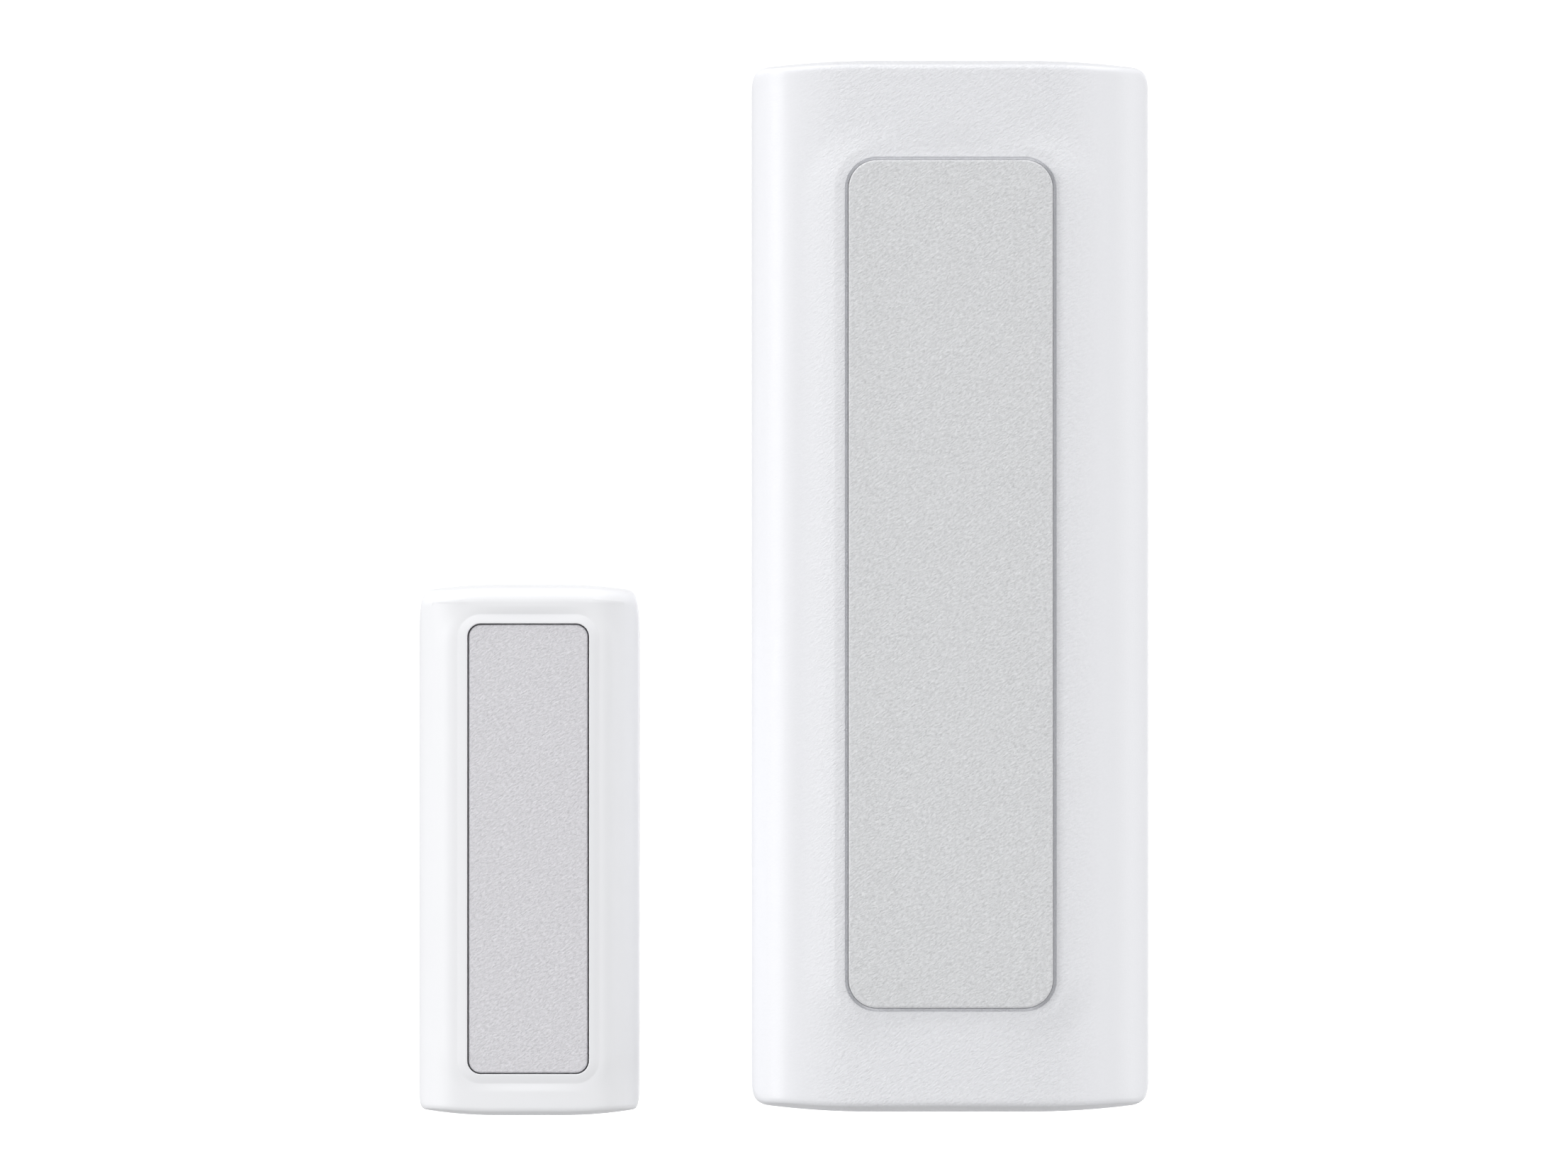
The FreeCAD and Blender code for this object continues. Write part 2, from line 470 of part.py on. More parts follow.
# ---------------------------------------------------------------- tamper switch, worked by the bracket
t_body = box(TAMPER_X - 2.5, TAMPER_X + 2.5, PCB_Y0, PCB_Y0 + 2.8, TAMPER_Z - 2.5, TAMPER_Z + 2.5)
t_body = t_body.cut(cyl(TAMPER_X, PCB_Y0 + 0.4, TAMPER_Z, 0.86, 4, (0, 1, 0)))
save(one(t_body), "tamper_switch_body")
# the round tip stands 0.1 mm off the ramp, measured square to it
tip_c = ramp_y0 - (tip_r + 0.1) / math.cos(math.atan(slope))
pin = cyl(TAMPER_X, PCB_Y0 + 0.5, TAMPER_Z, tip_r, tip_c - (PCB_Y0 + 0.5), (0, 1, 0))
pin = pin.fuse(Part.makeSphere(tip_r, V(TAMPER_X, tip_c, TAMPER_Z)))
save(one(pin), "tamper_plunger")

# ---------------------------------------------------------------- magnet unit
m_outer = capsule(M_W, M_L, M_D, M_FLANK_R, M_CROWN_R, M_BACK_Y, M_END_FLAT, M_END_R, M_END_CORNER, M_END_DOME, M_CREST_Y, M_EDGE_R, M_X, M_Z)
m_cav_w, m_cav_h = M_W - 2 * M_WALL, M_L - 2 * M_END_WALL
m_cav_front = -(M_D - M_FRONT_WALL)
m_hollow = section(m_cav_w, -m_cav_front, M_FLANK_R - M_WALL, M_CROWN_R, M_BACK_Y + 1, M_X)
m_hollow.translate(V(0, 0, M_Z - m_cav_h / 2))
m_hollow = m_hollow.extrude(V(0, 0, m_cav_h))
m_hollow = m_hollow.common(slab(m_cav_w, m_cav_h, 0.8, m_cav_front - 1, M_BACK_Y + 2, M_X, M_Z))
mz = M_Z + M_INLAY_Z
m_moat = loft(M_MOAT_W + 0.3, M_MOAT_H + 0.3, M_MOAT_R + 0.15, -M_D - 0.045, M_RIM_W + 0.1, M_RIM_H + 0.1, M_RIM_R + 0.05, -M_D + M_MOAT_DEPTH, M_X, mz)
m_island = slab(M_RIM_W, M_RIM_H, M_RIM_R, -M_D + M_MOAT_DEPTH + 0.5, -M_D + 0.22, M_X, mz)
m_island = m_island.fuse(loft(M_RIM_W, M_RIM_H, M_RIM_R, -M_D + 0.22, M_RIM_TOP_W, M_RIM_TOP_H, M_RIM_TOP_R, M_RIM_Y, M_X, mz))
m_above = slab(M_RIM_W - 0.02, M_RIM_H - 0.02, M_RIM_R, -M_D - 1, M_RIM_Y, M_X, mz)
m_pocket_y = M_INLAY_Y + M_INLAY_T + FILM_T
m_pocket = slab(M_INLAY_W + 2 * M_INLAY_GAP, M_INLAY_H + 2 * M_INLAY_GAP, M_INLAY_R + M_INLAY_GAP, -M_D - 1, m_pocket_y, M_X, mz)
m_cover = m_outer.cut(m_hollow)
m_cover = m_cover.cut(m_moat.cut(m_island))
m_cover = m_cover.cut(m_above)
m_cover = m_cover.cut(m_pocket)
# two recesses in the end walls take the base's catches
for up in (-1, 1):
    z_in = M_Z + up * (m_cav_h / 2)
    m_cover = m_cover.cut(box(M_X - 2.2, M_X + 2.2, -2.7, -4.0, z_in - up * 0.2, z_in + up * 0.5))
save(one(m_cover), "magnet_cover")
m_film = slab(M_INLAY_W - 0.8, M_INLAY_H - 0.8, 0.5, m_pocket_y - FILM_T, m_pocket_y, M_X, mz)
save(m_film, "magnet_inlay_film")
m_inlay = slab(M_INLAY_W, M_INLAY_H, M_INLAY_R, M_INLAY_Y, M_INLAY_Y + M_INLAY_T, M_X, mz)
m_inlay = m_inlay.makeChamfer(0.1, [e for e in m_inlay.Edges if abs(e.BoundBox.YMax - M_INLAY_Y) < 1e-6])
save(one(m_inlay), "magnet_front_inlay")

base = slab(m_cav_w - 0.2, m_cav_h - 0.2, 0.7, M_BACK_Y, M_BACK_Y - 1.4, M_X, M_Z)
mag_w, mag_d, mag_l = 5.0, 5.0, 25.0
mag_back = -3.0
cradle = box(M_X - mag_w / 2 - 1.1, M_X + mag_w / 2 + 1.1, M_BACK_Y - 1.2, -6.4, M_Z - mag_l / 2 - 1.1, M_Z + mag_l / 2 + 1.1)
cradle = cradle.cut(box(M_X - mag_w / 2 - 0.05, M_X + mag_w / 2 + 0.05, mag_back, -9, M_Z - mag_l / 2 - 0.05, M_Z + mag_l / 2 + 0.05))
base = base.fuse(cradle)
for up in (-1, 1):
    z_in = M_Z + up * (m_cav_h / 2 - 0.1)
    base = base.fuse(box(M_X - 1.9, M_X + 1.9, M_BACK_Y - 1.2, -3.8, z_in - up * 1.0, z_in))
    barb = Part.Face(Part.makePolygon([V(M_X - 1.9, -2.85, z_in - up * 0.1), V(M_X - 1.9, -2.85, z_in + up * 0.42), V(M_X - 1.9, -3.75, z_in + up * 0.02), V(M_X - 1.9, -3.75, z_in - up * 0.1), V(M_X - 1.9, -2.85, z_in - up * 0.1)])).extrude(V(3.8, 0, 0))
    base = base.fuse(barb)
save(one(base), "magnet_base")
bar_magnet = box(M_X - mag_w / 2, M_X + mag_w / 2, mag_back, mag_back - mag_d, M_Z - mag_l / 2, M_Z + mag_l / 2)
bar_magnet = bar_magnet.makeFillet(0.3, bar_magnet.Edges)
save(bar_magnet, "bar_magnet")
foam = slab(3.6, 20.0, 0.8, mag_back - mag_d, m_cav_front + 0.06, M_X, M_Z)
save(foam, "magnet_foam_pad")
save(slab(M_PAD_W, M_PAD_H, M_PAD_R, 0, -PAD_T, M_X, M_Z), "magnet_adhesive_pad")
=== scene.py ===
import json
import math

import bmesh
import bpy
from mathutils import Matrix, Vector
from mathutils.geometry import delaunay_2d_cdt


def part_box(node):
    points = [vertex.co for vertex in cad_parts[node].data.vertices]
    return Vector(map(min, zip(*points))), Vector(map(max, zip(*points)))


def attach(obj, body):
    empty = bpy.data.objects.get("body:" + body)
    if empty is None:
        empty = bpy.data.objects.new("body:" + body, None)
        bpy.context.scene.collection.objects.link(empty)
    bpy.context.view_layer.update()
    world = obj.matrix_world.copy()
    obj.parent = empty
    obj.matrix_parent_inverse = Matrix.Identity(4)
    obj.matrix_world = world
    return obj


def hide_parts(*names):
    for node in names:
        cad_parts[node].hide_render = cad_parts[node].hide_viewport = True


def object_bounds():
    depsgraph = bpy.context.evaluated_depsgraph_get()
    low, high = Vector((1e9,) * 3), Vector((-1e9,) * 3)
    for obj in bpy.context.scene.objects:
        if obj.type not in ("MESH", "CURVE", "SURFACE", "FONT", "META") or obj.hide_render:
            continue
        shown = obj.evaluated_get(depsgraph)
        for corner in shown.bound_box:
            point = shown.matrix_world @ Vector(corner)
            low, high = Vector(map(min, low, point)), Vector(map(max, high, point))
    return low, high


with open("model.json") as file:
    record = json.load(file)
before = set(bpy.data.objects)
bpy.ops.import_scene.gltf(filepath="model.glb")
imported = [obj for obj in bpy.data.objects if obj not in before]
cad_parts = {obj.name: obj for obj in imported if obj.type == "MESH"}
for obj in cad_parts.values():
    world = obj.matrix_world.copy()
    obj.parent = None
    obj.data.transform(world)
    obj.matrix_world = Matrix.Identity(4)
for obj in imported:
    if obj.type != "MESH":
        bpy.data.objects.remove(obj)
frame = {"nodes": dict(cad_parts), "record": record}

cad_lo, cad_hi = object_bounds()
nodes = frame["nodes"]
scene = bpy.context.scene
MM = 0.001

# ------------------------------------------------------------------ camera: a long lens, square to the fronts and a little below them
PHOTO_W, PHOTO_H = 2212.0, 1659.0
MM_PER_UNIT = 0.0528
sensor_lo, sensor_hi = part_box("sensor_front_cover")
sensor_cx, sensor_cz = (sensor_lo.x + sensor_hi.x) / 2, (sensor_lo.z + sensor_hi.z) / 2
front_y = sensor_lo.y
# the sensor unit's centre stands 234.3 to the right of the frame's centre and 3.2 above it
target = Vector((sensor_cx - 234.3 * MM_PER_UNIT * MM, front_y + 0.004, sensor_cz - 3.2 * MM_PER_UNIT * MM))
LENS, SENSOR = 300.0, 36.0
distance = PHOTO_W * MM_PER_UNIT * MM * LENS / SENSOR
LOOK_UP = math.radians(0.65)
cam_data = bpy.data.cameras.new("camera")
cam_data.lens = LENS
cam_data.sensor_width = SENSOR
cam_data.sensor_fit = "HORIZONTAL"
cam_data.clip_start = 0.01
cam_data.clip_end = 20.0
cam = bpy.data.objects.new("camera", cam_data)
scene.collection.objects.link(cam)
cam.location = target + Vector((0, -math.cos(LOOK_UP), -math.sin(LOOK_UP))) * distance
cam.rotation_euler = (math.radians(90) + LOOK_UP, 0, 0)
scene.camera = cam

scene.view_settings.view_transform = "Standard"
scene.view_settings.look = "None"
scene.view_settings.exposure = 0.0
scene.view_settings.gamma = 1.0


# ------------------------------------------------------------------ materials, one for each slot of the record; lengths in the textures are millimetres
class Tree:
    """A node material being built."""

    def __init__(self, name):
        self.mat = bpy.data.materials.new(name)
        self.mat.use_nodes = True
        self.nt = self.mat.node_tree
        self.bsdf = self.nt.nodes["Principled BSDF"]
        coord = self.nt.nodes.new("ShaderNodeTexCoord")
        self.place = coord.outputs["Object"]

    def node(self, kind, **values):
        n = self.nt.nodes.new(kind)
        for key, value in values.items():
            setattr(n, key, value)
        return n

    def link(self, a, b):
        self.nt.links.new(a, b)

    def mapped(self, turn=(0, 0, 0), stretch=(1, 1, 1)):
        """The place turned first and then stretched, so that a pattern can be drawn out along a slant."""
        m = self.node("ShaderNodeMapping")
        m.inputs["Rotation"].default_value = [math.radians(a) for a in turn]
        self.link(self.place, m.inputs["Vector"])
        n = self.node("ShaderNodeMapping")
        n.inputs["Scale"].default_value = stretch
        self.link(m.outputs["Vector"], n.inputs["Vector"])
        return n.outputs["Vector"]

    def noise(self, size, detail=2.0, rough=0.5, vector=None, distortion=0.0):
        """Noise whose features are about size millimetres across."""
        n = self.node("ShaderNodeTexNoise")
        n.inputs["Scale"].default_value = 1000.0 / size
        n.inputs["Detail"].default_value = detail
        n.inputs["Roughness"].default_value = rough
        n.inputs["Distortion"].default_value = distortion
        self.link(vector if vector is not None else self.place, n.inputs["Vector"])
        return n.outputs["Fac"]

    def cells(self, size, feature="F1", vector=None, randomness=1.0):
        n = self.node("ShaderNodeTexVoronoi", feature=feature)
        n.inputs["Scale"].default_value = 1000.0 / size
        n.inputs["Randomness"].default_value = randomness
        self.link(vector if vector is not None else self.place, n.inputs["Vector"])
        return n.outputs["Distance"]

    def ranged(self, value, a, b, lo, hi, kind="LINEAR"):
        n = self.node("ShaderNodeMapRange", interpolation_type=kind)
        for key, v in (("From Min", a), ("From Max", b), ("To Min", lo), ("To Max", hi)):
            n.inputs[key].default_value = v
        self.link(value, n.inputs["Value"])
        return n.outputs["Result"]

    def maths(self, kind, a, b=None):
        n = self.node("ShaderNodeMath", operation=kind)
        for i, v in enumerate((a, b)):
            if v is None:
                continue
            if isinstance(v, (int, float)):
                n.inputs[i].default_value = v
            else:
                self.link(v, n.inputs[i])
        return n.outputs[0]

    def axis(self, which):
        n = self.node("ShaderNodeSeparateXYZ")
        self.link(self.place, n.inputs[0])
        return n.outputs[which]

    def blend(self, fac, a, b):
        """A colour between a and b."""
        n = self.node("ShaderNodeMix", data_type="RGBA")
        self.link(fac, n.inputs["Factor"])
        for key, c in (("A", a), ("B", b)):
            sock = [s for s in n.inputs if s.name == key and s.type == "RGBA"][0]
            if isinstance(c, (tuple, list)):
                sock.default_value = (*c, 1.0)
            else:
                self.link(c, sock)
        return [s for s in n.outputs if s.type == "RGBA"][0]

    def colour(self, c):
        if isinstance(c, (tuple, list)):
            self.bsdf.inputs["Base Color"].default_value = (*c, 1.0)
        else:
            self.link(c, self.bsdf.inputs["Base Color"])

    def rough(self, r):
        if isinstance(r, (int, float)):
            self.bsdf.inputs["Roughness"].default_value = r
        else:
            self.link(r, self.bsdf.inputs["Roughness"])

    def bump(self, height, depth_mm, strength=1.0):
        n = self.node("ShaderNodeBump")
        n.inputs["Strength"].default_value = strength
        n.inputs["Distance"].default_value = depth_mm * MM
        self.link(height, n.inputs["Height"])
        old = self.bsdf.inputs["Normal"].links
        if old:
            self.link(old[0].from_socket, n.inputs["Normal"])
        self.link(n.outputs["Normal"], self.bsdf.inputs["Normal"])

    def put(self, **values):
        for key, v in values.items():
            self.bsdf.inputs[key.replace("_", " ")].default_value = v
        return self


def tint(c, k):
    return tuple(min(1.0, v * k) for v in c)


def leather(t, size, depth, mask=None, turn=(0, 35, 0)):
    """Fine mould grain: short wrinkles that run together, a little longer one way."""
    v = t.mapped(turn, (0.55, 1.0, 1.25))
    wrinkle = t.noise(size, 3.0, 0.62, v, 0.35)
    pits = t.cells(size * 1.7, "SMOOTH_F1", v)
    h = t.maths("ADD", wrinkle, t.maths("MULTIPLY", pits, 0.45))
    if mask is not None:
        h = t.maths("MULTIPLY", h, mask)
    t.bump(h, depth)
    return h


def make_cover(name, colour, grain_size, grain_depth, fade, rough=0.42):
    t = Tree(name)
    soft = t.noise(9.0, 2.0, 0.5)
    t.colour(t.blend(t.ranged(soft, 0.3, 0.7, 0, 1), tint(colour, 0.992), tint(colour, 1.004)))
    mask = None
    if fade is not None:
        across = t.maths("ABSOLUTE", t.axis("X"))
        mask = t.ranged(across, fade[0] * MM, fade[1] * MM, 1.0, 0.12, "SMOOTHSTEP")
    h = leather(t, grain_size, grain_depth, mask)
    if mask is not None:
        # the grain's colour is partly the plastic's own tone and partly painted shade darkening the grain's pits; the
        # mask fades it out towards the flanks, which take the lighter tint
        grain_pattern = t.noise(grain_size, 3.0, 0.62, t.mapped((0, 35, 0), (0.55, 1.0, 1.25)), 0.35)
        grain_tone_and_pit_shade = t.maths("MULTIPLY", t.ranged(grain_pattern, 0.3, 0.7, 0, 1), mask)
        t.colour(t.blend(grain_tone_and_pit_shade, tint(colour, 1.035), tint(colour, 0.925)))
    t.rough(t.ranged(t.noise(0.6, 2.0, 0.5), 0.3, 0.7, rough - 0.03, rough + 0.04))
    return t


def make_inlay(name, colour, size, depth, rough=0.58):
    t = Tree(name)
    v = t.mapped((0, 35, 0), (0.55, 1.0, 1.25))
    grain_pattern = t.noise(size, 3.0, 0.62, v, 0.35)
    cloud = t.noise(3.2, 2.0, 0.5)
    # the grain's colour is partly the inlay's own tone and partly painted shade darkening the grain's pits, with faint
    # broad clouds of tone
    grain_tone_and_pit_shade = t.maths("ADD", t.maths("MULTIPLY", grain_pattern, 0.975), t.maths("MULTIPLY", cloud, 0.025))
    t.colour(t.blend(t.ranged(grain_tone_and_pit_shade, 0.3, 0.7, 0, 1), tint(colour, 0.82), tint(colour, 1.17)))
    leather(t, size, depth)
    t.rough(t.ranged(grain_pattern, 0.3, 0.7, rough + 0.05, rough - 0.05))
    return t


def make_moulded(name, colour, rough, size=0.12, depth=0.006, vary=0.02):
    """Plain moulded plastic with a spark-eroded finish."""
    t = Tree(name)
    t.colour(t.blend(t.ranged(t.noise(4.0, 3.0, 0.6), 0.3, 0.7, 0, 1), tint(colour, 1 - vary), tint(colour, 1 + vary)))
    fine = t.noise(size, 2.0, 0.6)
    t.bump(fine, depth)
    t.rough(t.ranged(fine, 0.3, 0.7, rough - 0.05, rough + 0.06))
    return t


def make_metal(name, colour, rough, grain=(1, 1, 1), size=0.25, depth=0.002, vary=0.06):
    """Rolled or plated metal: faint marks drawn out along one way, and patches of duller plating."""
    t = Tree(name)
    t.put(Metallic=1.0)
    drawn = t.noise(size, 3.0, 0.6, t.mapped((0, 0, 0), grain))
    patch = t.noise(2.6, 3.0, 0.6)
    t.colour(t.blend(t.ranged(patch, 0.3, 0.75, 0, 1), tint(colour, 1 - vary), tint(colour, 1 + vary)))
    t.rough(t.ranged(t.maths("ADD", t.maths("MULTIPLY", drawn, 0.6), t.maths("MULTIPLY", patch, 0.4)), 0.3, 0.7, rough - 0.06, rough + 0.10))
    t.bump(drawn, depth)
    return t


def make_foam(name, colour, cell, depth, rough=0.9):
    """Closed-cell foam: small round cells with darker pores."""
    t = Tree(name)
    d = t.cells(cell, "F1")
    fine = t.noise(cell * 0.6, 2.0, 0.6)
    t.colour(t.blend(t.ranged(d, 0.15, 0.75, 0, 1), tint(colour, 0.78), tint(colour, 1.03)))
    t.bump(t.maths("ADD", d, t.maths("MULTIPLY", fine, 0.4)), depth)
    t.rough(t.ranged(fine, 0.3, 0.7, rough - 0.08, rough + 0.05))
    return t


COVER = (0.862, 0.868, 0.898)
# the magnet's white is set lighter than the sensor's: partly its own tone, partly painted light standing in for the
# brighter light on the magnet unit
M_COVER_TONE_AND_PAINTED_LIGHT = (0.900, 0.905, 0.925)
INLAY = (0.729, 0.736, 0.751)
M_INLAY = (0.738, 0.730, 0.762)
made = {}
made["cover_plastic"] = make_cover("cover_plastic", COVER, 0.14, 0.075, (7.0, 12.2)).mat
made["magnet_cover_plastic"] = make_cover("magnet_cover_plastic", M_COVER_TONE_AND_PAINTED_LIGHT, 0.22, 0.0015, None, 0.46).put(Specular_IOR_Level=0.3).mat
made["inlay_plastic"] = make_inlay("inlay_plastic", INLAY, 0.14, 0.075).mat
made["magnet_inlay_plastic"] = make_inlay("magnet_inlay_plastic", M_INLAY, 0.14, 0.075).mat
made["button_plastic"] = make_moulded("button_plastic", (0.84, 0.845, 0.855), 0.38, 0.10, 0.003).mat
made["housing_plastic"] = make_moulded("housing_plastic", (0.80, 0.805, 0.81), 0.55, 0.10, 0.008).mat
made["bracket_plastic"] = make_moulded("bracket_plastic", (0.78, 0.785, 0.79), 0.52, 0.11, 0.008).mat
made["switch_body_plastic"] = make_moulded("switch_body_plastic", (0.028, 0.028, 0.03), 0.48, 0.08, 0.006, 0.12).mat
made["switch_plunger_plastic"] = make_moulded("switch_plunger_plastic", (0.16, 0.035, 0.03), 0.42, 0.08, 0.003, 0.08).mat
made["chip_epoxy"] = make_moulded("chip_epoxy", (0.022, 0.023, 0.025), 0.62, 0.05, 0.006, 0.12).mat
made["ceramic"] = make_moulded("ceramic", (0.43, 0.30, 0.19), 0.45, 0.08, 0.003, 0.07).mat
made["cell_steel"] = make_metal("cell_steel", (0.66, 0.655, 0.64), 0.27, (1, 1, 0.08), 0.10, 0.0015).mat
made["spring_contact"] = make_metal("spring_contact", (0.72, 0.66, 0.52), 0.30, (1, 1, 0.15), 0.12, 0.0015).mat
made["screw_steel"] = make_metal("screw_steel", (0.58, 0.58, 0.60), 0.32, (1, 0.3, 1), 0.15, 0.002).mat
made["lead_metal"] = make_metal("lead_metal", (0.70, 0.69, 0.67), 0.30, (1, 1, 0.2), 0.10, 0.0015).mat
made["shield_metal"] = make_metal("shield_metal", (0.68, 0.68, 0.67), 0.34, (0.12, 1, 1), 0.12, 0.0015).mat
made["crystal_can"] = make_metal("crystal_can", (0.74, 0.72, 0.66), 0.26, (1, 1, 0.3), 0.10, 0.001).mat
made["antenna_metal"] = make_metal("antenna_metal", (0.74, 0.68, 0.56), 0.30, (0.2, 1, 1), 0.10, 0.0015).mat
made["magnet_plating"] = make_metal("magnet_plating", (0.62, 0.61, 0.59), 0.20, (1, 1, 1), 0.30, 0.001, 0.04).mat
made["adhesive_foam"] = make_foam("adhesive_foam", (0.17, 0.17, 0.18), 0.22, 0.03, 0.82).mat
made["soft_foam"] = make_foam("soft_foam", (0.055, 0.056, 0.06), 0.35, 0.08).mat

t = Tree("adhesive_film")
t.colour(t.blend(t.ranged(t.noise(1.4, 3.0, 0.6), 0.3, 0.7, 0, 1), (0.60, 0.58, 0.50), (0.68, 0.66, 0.60)))
t.rough(t.ranged(t.noise(0.5, 2.0, 0.5), 0.3, 0.7, 0.22, 0.34))
t.bump(t.noise(0.7, 2.0, 0.5), 0.004)
made["adhesive_film"] = t.mat

t = Tree("circuit_laminate")
# solder mask over copper: fine tracks show as slightly paler bands, bare glass fibre on the cut edges
x, y, z = t.axis("X"), t.axis("Y"), t.axis("Z")
wander = t.noise(5.0, 1.0, 0.4)
lane = t.maths("FRACT", t.maths("MULTIPLY", t.maths("ADD", x, t.maths("MULTIPLY", t.maths("SNAP", z, 0.0032), 0.37)), 620.0))
track = t.ranged(t.maths("ABSOLUTE", t.maths("SUBTRACT", lane, 0.5)), 0.14, 0.18, 1.0, 0.0)
pour = t.ranged(t.noise(6.5, 0.0, 0.0), 0.54, 0.56, 0.0, 1.0)
copper = t.maths("MAXIMUM", t.maths("MULTIPLY", track, t.maths("SUBTRACT", 1.0, pour)), pour)
mask_col = t.blend(copper, (0.016, 0.105, 0.052), (0.028, 0.165, 0.078))
edge = t.ranged(t.maths("ABSOLUTE", t.maths("ADD", y, 0.0081)), 0.00046, 0.00049, 1.0, 0.0)
t.colour(t.blend(edge, mask_col, (0.42, 0.40, 0.22)))
t.rough(t.ranged(wander, 0.3, 0.7, 0.27, 0.38))
t.bump(copper, 0.02)
t.bump(t.noise(0.25, 2.0, 0.5), 0.002)
made["circuit_laminate"] = t.mat

t = Tree("reed_glass")
t.colour(t.blend(t.ranged(t.noise(3.0, 2.0, 0.5), 0.3, 0.7, 0, 1), (0.62, 0.78, 0.66), (0.72, 0.86, 0.76)))
t.rough(t.ranged(t.noise(1.0, 2.0, 0.5), 0.3, 0.7, 0.03, 0.07))
t.bump(t.noise(1.5, 2.0, 0.5), 0.002)
t.put(IOR=1.5, Transmission_Weight=0.85)
made["reed_glass"] = t.mat

t = Tree("led_body")
t.colour(t.blend(t.ranged(t.noise(0.5, 2.0, 0.5), 0.3, 0.7, 0, 1), (0.80, 0.79, 0.70), (0.88, 0.87, 0.80)))
t.rough(t.ranged(t.noise(0.3, 2.0, 0.5), 0.3, 0.7, 0.28, 0.40))
t.bump(t.noise(0.2, 2.0, 0.5), 0.003)
made["led_body"] = t.mat

slot_of = {s["node"]: s["material_slot"] for s in frame["record"]["subparts"]}
for n, o in nodes.items():
    o.data.materials.clear()
    o.data.materials.append(made[slot_of[n]])


# ------------------------------------------------------------------ shells: each unit's cover is one continuous mesh, in millimetres about the unit's own centre
class Form:
    """A unit's outer form: straight sides, round flanks, a crowned front and two domed ends."""

    def __init__(self, w, length, depth, flank_r, crown_r, back_y, flat, end_r, corner, dome, crest_y, edge_r):
        self.w, self.half, self.depth = w, length / 2, depth
        self.flank_r, self.crown_r, self.back_y = flank_r, crown_r, back_y
        self.flat, self.end_r, self.corner, self.dome, self.crest_y = flat, end_r, corner, dome, crest_y
        self.edge_up, self.edge_down = edge_r if isinstance(edge_r, tuple) else (edge_r, edge_r)
        self.fx = w / 2 - flank_r
        self.cy = -depth + crown_r
        self.fy = self.cy - math.sqrt((crown_r - flank_r) ** 2 - self.fx ** 2)
        self.tangent = math.asin(self.fx / (crown_r - flank_r))
        self.tx = crown_r * math.sin(self.tangent)
        reach = depth + crest_y
        self.z_axis = self.half - (reach ** 2 + dome ** 2) / (2 * dome)
        self.kx = w / 2 - 0.93 * corner
        self.kz = (self.half - end_r) + math.sqrt((end_r - corner) ** 2 - (self.kx - flat) ** 2)
        self.bend_x = flat + end_r * (self.kx - flat) / (end_r - corner)

    def front(self, x):
        """The front's y and its outward normal at x."""
        a = abs(x)
        s = 1.0 if x >= 0 else -1.0
        if a <= self.tx:
            t = math.asin(a / self.crown_r)
            return self.cy - self.crown_r * math.cos(t), (s * math.sin(t), -math.cos(t))
        t = math.asin(min(1.0, (a - self.fx) / self.flank_r))
        return self.fy - self.flank_r * math.cos(t), (s * math.sin(t), -math.cos(t))

    def end(self, x, y, off=0.0):
        """How far the domed end reaches along Z at (x, y), drawn in by -off."""
        a = abs(x)
        if a <= self.flat:
            h, slope = self.half, 0.0
        elif a <= self.bend_x:
            rise = math.sqrt(self.end_r ** 2 - (a - self.flat) ** 2)
            h, slope = self.half - self.end_r + rise, (a - self.flat) / rise
        else:
            rise = math.sqrt(max(1e-9, self.corner ** 2 - (a - self.kx) ** 2))
            h, slope = self.kz + rise, (a - self.kx) / rise
        rho = h - self.z_axis + off * math.sqrt(1 + slope * slope)
        return self.z_axis + math.sqrt(rho * rho - (y - self.crest_y) ** 2)


CORNER_STEPS, ACROSS, ALONG = 9, 16, 64


def ring_points(hw, hh, r, square=0.0):
    """Points round a rounded rectangle, corner bisector to corner bisector: top, right, bottom and left. square turns the round corners into true ones."""
    def side(a, b, n):
        # half an arc, the straight part, half an arc, along +u; v is the outward distance
        pts = []
        for i in range(CORNER_STEPS):
            t = math.radians(45) * (1 - i / CORNER_STEPS)
            arc = (-(a - r) - r * math.sin(t), b - r + r * math.cos(t))
            box = (-(a - r) - r * math.tan(t), b)
            pts.append((arc[0] * (1 - square) + box[0] * square, arc[1] * (1 - square) + box[1] * square))
        for i in range(n + 1):
            pts.append((-(a - r) + 2 * (a - r) * i / n, b))
        for i in range(1, CORNER_STEPS + 1):
            t = math.radians(45) * i / CORNER_STEPS
            arc = ((a - r) + r * math.sin(t), b - r + r * math.cos(t))
            box = ((a - r) + r * math.tan(t), b)
            pts.append((arc[0] * (1 - square) + box[0] * square, arc[1] * (1 - square) + box[1] * square))
        return pts
    top = [(u, v) for u, v in side(hw, hh, ACROSS)]
    right = [(v, -u) for u, v in side(hh, hw, ALONG)]
    bottom = [(-u, -v) for u, v in side(hw, hh, ACROSS)]
    left = [(-v, u) for u, v in side(hh, hw, ALONG)]
    return top, right, bottom, left


def weld(me, dist):
    bm = bmesh.new()
    bm.from_mesh(me)
    bmesh.ops.remove_doubles(bm, verts=bm.verts, dist=dist)
    return bm


